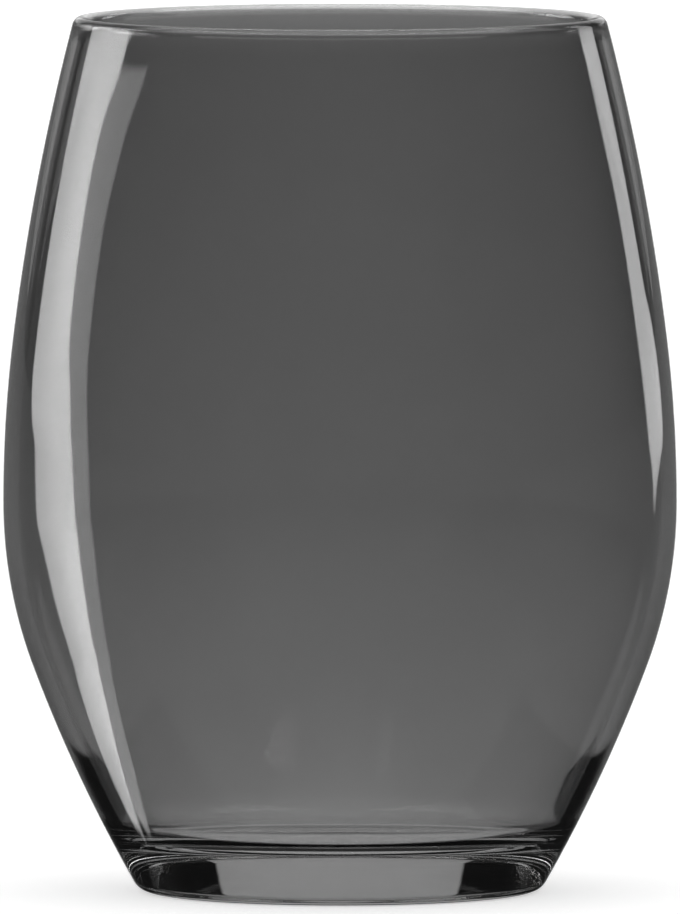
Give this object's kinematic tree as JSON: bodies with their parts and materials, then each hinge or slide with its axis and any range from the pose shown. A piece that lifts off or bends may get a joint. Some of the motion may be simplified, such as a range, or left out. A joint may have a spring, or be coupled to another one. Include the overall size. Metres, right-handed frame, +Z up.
{
  "type": "highball glass",
  "caption": "Barrel-shaped highball tumbler of clear glass with a heavy base and a smoke-grey coat outside, for holding a drink.",
  "frame": {"origin": "middle of the ring that the glass stands on, on the table's surface", "axes": "+Z up along the axis of the glass, towards its mouth"},
  "size_m": [0.0812, 0.0812, 0.1054],
  "materials": {
    "clear_glass": "fire-polished, clear",
    "smoke_film": "thin glossy see-through grey coat"
  },
  "bodies": {
    "root": {"glass_body": "clear_glass", "smoke_coat": "smoke_film"}
  },
  "joints": []
}
